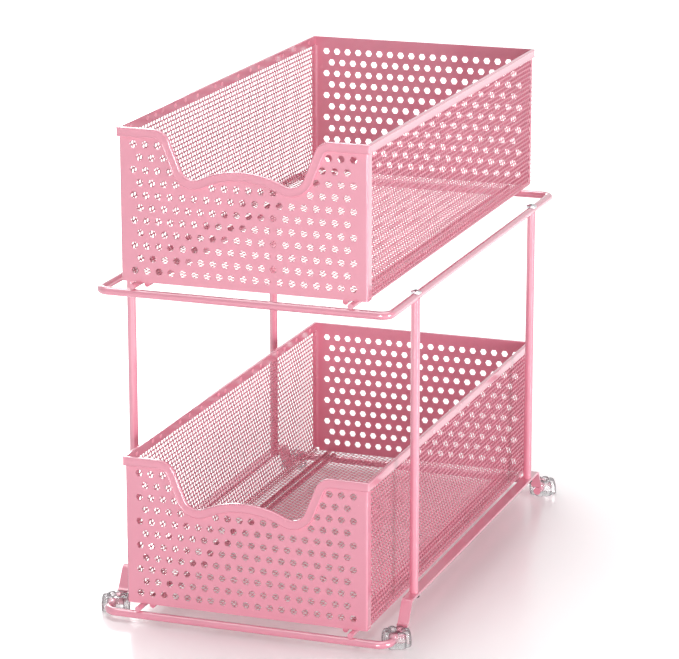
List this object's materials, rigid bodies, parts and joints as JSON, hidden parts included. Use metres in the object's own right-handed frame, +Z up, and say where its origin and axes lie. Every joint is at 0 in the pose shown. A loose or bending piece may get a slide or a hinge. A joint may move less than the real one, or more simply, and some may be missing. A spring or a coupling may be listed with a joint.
{
  "type": "pull out cabinet basket",
  "caption": "Two-tier rod stand on clear feet with two mesh baskets that slide out to the front, each with a scooped perforated front panel.",
  "frame": {"origin": "on the floor, under the middle of the stand", "axes": "+X to the right, +Y to the rear, so the baskets pull out towards -Y; +Z up"},
  "size_m": [0.2642, 0.4486, 0.4024],
  "materials": {
    "stand_enamel": "gloss pink powder coat",
    "panel_enamel": "gloss pink powder coat on punched sheet",
    "mesh_enamel": "gloss pink powder coat on steel mesh",
    "screw_steel": "bright plated",
    "foot_clear": "clear soft plastic"
  },
  "bodies": {
    "stand": {"upper_loop": "stand_enamel", "upper_rail_left": "stand_enamel", "upper_rail_right": "stand_enamel", "post_front_left": "stand_enamel", "post_front_right": "stand_enamel", "post_rear_left": "stand_enamel", "post_rear_right": "stand_enamel", "side_bracket_left": "stand_enamel", "side_bracket_right": "stand_enamel", "base_rod_front": "stand_enamel", "base_rod_rear": "stand_enamel", "lower_rail_left": "stand_enamel", "lower_rail_right": "stand_enamel", "top_screws": "screw_steel", "base_screws": "screw_steel", "foot_front_left": "foot_clear", "foot_front_right": "foot_clear", "foot_rear_left": "foot_clear", "foot_rear_right": "foot_clear"},
    "upper_basket": {"upper_front_panel": "panel_enamel", "upper_back_panel": "panel_enamel", "upper_mesh_tray": "mesh_enamel", "upper_rim": "panel_enamel", "upper_runner_left": "stand_enamel", "upper_runner_right": "stand_enamel"},
    "lower_basket": {"lower_front_panel": "panel_enamel", "lower_back_panel": "panel_enamel", "lower_mesh_tray": "mesh_enamel", "lower_rim": "panel_enamel", "lower_runner_left": "stand_enamel", "lower_runner_right": "stand_enamel"}
  },
  "joints": [
    {"name": "upper_basket_slide", "type": "slide", "parent": "stand", "child": "upper_basket", "axis": [0, -1, 0], "range_m": [0, 0.28]},
    {"name": "lower_basket_slide", "type": "slide", "parent": "stand", "child": "lower_basket", "axis": [0, -1, 0], "range_m": [0, 0.28]}
  ]
}
